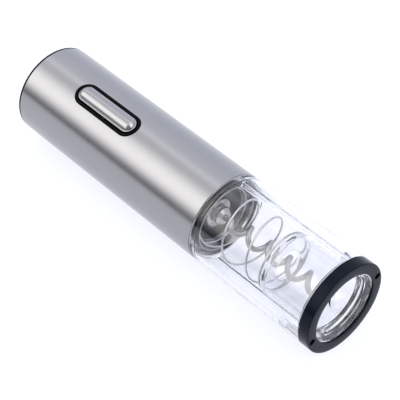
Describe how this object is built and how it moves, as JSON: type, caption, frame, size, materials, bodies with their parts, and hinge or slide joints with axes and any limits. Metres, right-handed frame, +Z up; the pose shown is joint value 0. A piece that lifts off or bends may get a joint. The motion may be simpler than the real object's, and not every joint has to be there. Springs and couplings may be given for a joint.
{
  "type": "electric wine opener",
  "caption": "Cordless stick-shaped electric wine opener: brushed steel handle with a rocker button, clear barrel with the worm and a sprung bottle guide, black end ring.",
  "frame": {"origin": "centre of the footprint on the surface that the opener lies on, halfway along its length", "axes": "+X along the opener's axis towards the bottle opening, +Z up; the button leans 16.8 degrees from the top towards -Y"},
  "size_m": [0.205, 0.0478, 0.0497],
  "materials": {
    "black_plastic": "satin moulded black ABS",
    "gloss_black": "polished black",
    "clear_plastic": "clear polished acrylic-like plastic",
    "brushed_steel": "satin stainless, brushed",
    "satin_silver": "satin silver plating on plastic",
    "chrome": "bright plated steel",
    "spring_steel": "bright spring wire",
    "zinc_steel": "zinc-plated steel",
    "brass": "plain brass",
    "copper": "copper winding over laminations",
    "ferrite": "matt ferrite",
    "green_board": "circuit board laminate",
    "white_gear": "natural acetal",
    "cell_wrap": "plain printed wrap, no text",
    "red_lead": "insulation",
    "black_lead": "insulation"
  },
  "bodies": {
    "casing": {"steel_tube": "brushed_steel", "clear_housing": "clear_plastic", "end_ring": "black_plastic", "ring_screw_left": "zinc_steel", "ring_screw_right": "zinc_steel", "button_bezel": "gloss_black", "rocker_pin": "zinc_steel", "switch_board": "green_board", "tact_switch_front": "black_plastic", "tact_switch_rear": "black_plastic", "battery_barrel": "black_plastic", "aa_cell_1": "cell_wrap", "aa_cell_2": "cell_wrap", "aa_cell_3": "cell_wrap", "aa_cell_4": "cell_wrap", "terminal_board": "green_board", "front_bridge_contact": "brass", "positive_terminal": "brass", "negative_terminal": "brass", "motor_can": "zinc_steel", "motor_end_bell": "black_plastic", "motor_magnet_left": "ferrite", "motor_magnet_right": "ferrite", "motor_lead_red": "red_lead", "motor_lead_black": "black_lead", "motor_plate": "zinc_steel", "motor_screw_left": "zinc_steel", "motor_screw_right": "zinc_steel", "gearbox_housing": "black_plastic", "gearbox_cover": "black_plastic", "output_bushing": "satin_silver", "upper_frame": "black_plastic", "lower_frame": "black_plastic", "spring_seat": "chrome", "guide_spring": "spring_steel"},
    "rocker": {"rocker_button": "satin_silver"},
    "plunger_front": {"tact_plunger_front": "satin_silver"},
    "plunger_rear": {"tact_plunger_rear": "satin_silver"},
    "guide": {"guide_cup": "clear_plastic"},
    "spindle": {"output_carrier": "zinc_steel", "worm_hub": "satin_silver", "worm": "chrome"},
    "first_carrier": {"carrier_1": "white_gear"},
    "second_carrier": {"carrier_2": "white_gear"},
    "rotor": {"motor_armature": "copper", "motor_pinion": "brass"},
    "cap_plate": {"cap_contact_plate": "green_board", "cap_bridge_left": "brass", "cap_bridge_right": "brass"},
    "cap": {"battery_cap": "black_plastic"},
    "planet_1a": {"planet_1a": "white_gear"},
    "planet_1b": {"planet_1b": "white_gear"},
    "planet_1c": {"planet_1c": "white_gear"},
    "planet_2a": {"planet_2a": "white_gear"},
    "planet_2b": {"planet_2b": "white_gear"},
    "planet_2c": {"planet_2c": "white_gear"},
    "planet_3a": {"planet_3a": "white_gear"},
    "planet_3b": {"planet_3b": "white_gear"},
    "planet_3c": {"planet_3c": "white_gear"}
  },
  "joints": [
    {"name": "worm_spin", "type": "hinge", "parent": "casing", "child": "spindle", "pos_m": [0, 0, 0.02395], "axis": [1, 0, 0], "continuous": true},
    {"name": "second_carrier_spin", "type": "hinge", "parent": "casing", "child": "second_carrier", "pos_m": [0, 0, 0.02395], "axis": [1, 0, 0], "continuous": true},
    {"name": "first_carrier_spin", "type": "hinge", "parent": "casing", "child": "first_carrier", "pos_m": [0, 0, 0.02395], "axis": [1, 0, 0], "continuous": true},
    {"name": "rotor_spin", "type": "hinge", "parent": "casing", "child": "rotor", "pos_m": [0, 0, 0.02395], "axis": [1, 0, 0], "continuous": true},
    {"name": "planet_1a_spin", "type": "hinge", "parent": "first_carrier", "child": "planet_1a", "pos_m": [0, 0.00919, 0.02672], "axis": [1, 0, 0], "continuous": true},
    {"name": "planet_1b_spin", "type": "hinge", "parent": "first_carrier", "child": "planet_1b", "pos_m": [0, -0.007, 0.03052], "axis": [1, 0, 0], "continuous": true},
    {"name": "planet_1c_spin", "type": "hinge", "parent": "first_carrier", "child": "planet_1c", "pos_m": [0, -0.00219, 0.0146], "axis": [1, 0, 0], "continuous": true},
    {"name": "planet_2a_spin", "type": "hinge", "parent": "second_carrier", "child": "planet_2a", "pos_m": [0, 0.00919, 0.02672], "axis": [1, 0, 0], "continuous": true},
    {"name": "planet_2b_spin", "type": "hinge", "parent": "second_carrier", "child": "planet_2b", "pos_m": [0, -0.007, 0.03052], "axis": [1, 0, 0], "continuous": true},
    {"name": "planet_2c_spin", "type": "hinge", "parent": "second_carrier", "child": "planet_2c", "pos_m": [0, -0.00219, 0.0146], "axis": [1, 0, 0], "continuous": true},
    {"name": "planet_3a_spin", "type": "hinge", "parent": "spindle", "child": "planet_3a", "pos_m": [0, 0.00919, 0.02672], "axis": [1, 0, 0], "continuous": true},
    {"name": "planet_3b_spin", "type": "hinge", "parent": "spindle", "child": "planet_3b", "pos_m": [0, -0.007, 0.03052], "axis": [1, 0, 0], "continuous": true},
    {"name": "planet_3c_spin", "type": "hinge", "parent": "spindle", "child": "planet_3c", "pos_m": [0, -0.00219, 0.0146], "axis": [1, 0, 0], "continuous": true},
    {"name": "guide_slide", "type": "slide", "parent": "casing", "child": "guide", "axis": [-1, 0, 0], "range_m": [0, 0.028], "stiffness_N_per_m": 150, "springref_m": -0.006, "deforming": ["guide_spring"]},
    {"name": "rocker_tilt", "type": "hinge", "parent": "casing", "child": "rocker", "pos_m": [-0.0509, -0.00595, 0.04367], "axis": [0, 0.9573, 0.289], "range_deg": [-3.5, 3.5], "stiffness_Nm_per_rad": 0.1},
    {"name": "front_plunger_press", "type": "slide", "parent": "casing", "child": "plunger_front", "axis": [0, 0.289, -0.9573], "range_m": [0, 0.00025], "stiffness_N_per_m": 300, "springref_m": -0.0005},
    {"name": "rear_plunger_press", "type": "slide", "parent": "casing", "child": "plunger_rear", "axis": [0, 0.289, -0.9573], "range_m": [0, 0.00025], "stiffness_N_per_m": 300, "springref_m": -0.0005},
    {"name": "cap_lift", "type": "slide", "parent": "casing", "child": "cap_plate", "axis": [-1, 0, 0], "range_m": [0, 0.006]},
    {"name": "cap_twist", "type": "hinge", "parent": "cap_plate", "child": "cap", "pos_m": [0, 0, 0.02395], "axis": [-1, 0, 0], "range_deg": [0, 540]}
  ],
  "couplings": [
    {"joint": "second_carrier_spin", "follows": "worm_spin", "ratio": 4},
    {"joint": "first_carrier_spin", "follows": "worm_spin", "ratio": 16},
    {"joint": "rotor_spin", "follows": "worm_spin", "ratio": 64},
    {"joint": "planet_1a_spin", "follows": "worm_spin", "ratio": -48},
    {"joint": "planet_1b_spin", "follows": "worm_spin", "ratio": -48},
    {"joint": "planet_1c_spin", "follows": "worm_spin", "ratio": -48},
    {"joint": "planet_2a_spin", "follows": "worm_spin", "ratio": -12},
    {"joint": "planet_2b_spin", "follows": "worm_spin", "ratio": -12},
    {"joint": "planet_2c_spin", "follows": "worm_spin", "ratio": -12},
    {"joint": "planet_3a_spin", "follows": "worm_spin", "ratio": -3},
    {"joint": "planet_3b_spin", "follows": "worm_spin", "ratio": -3},
    {"joint": "planet_3c_spin", "follows": "worm_spin", "ratio": -3},
    {"joint": "cap_lift", "follows": "cap_twist", "m_per_rad": 0.00063662}
  ]
}
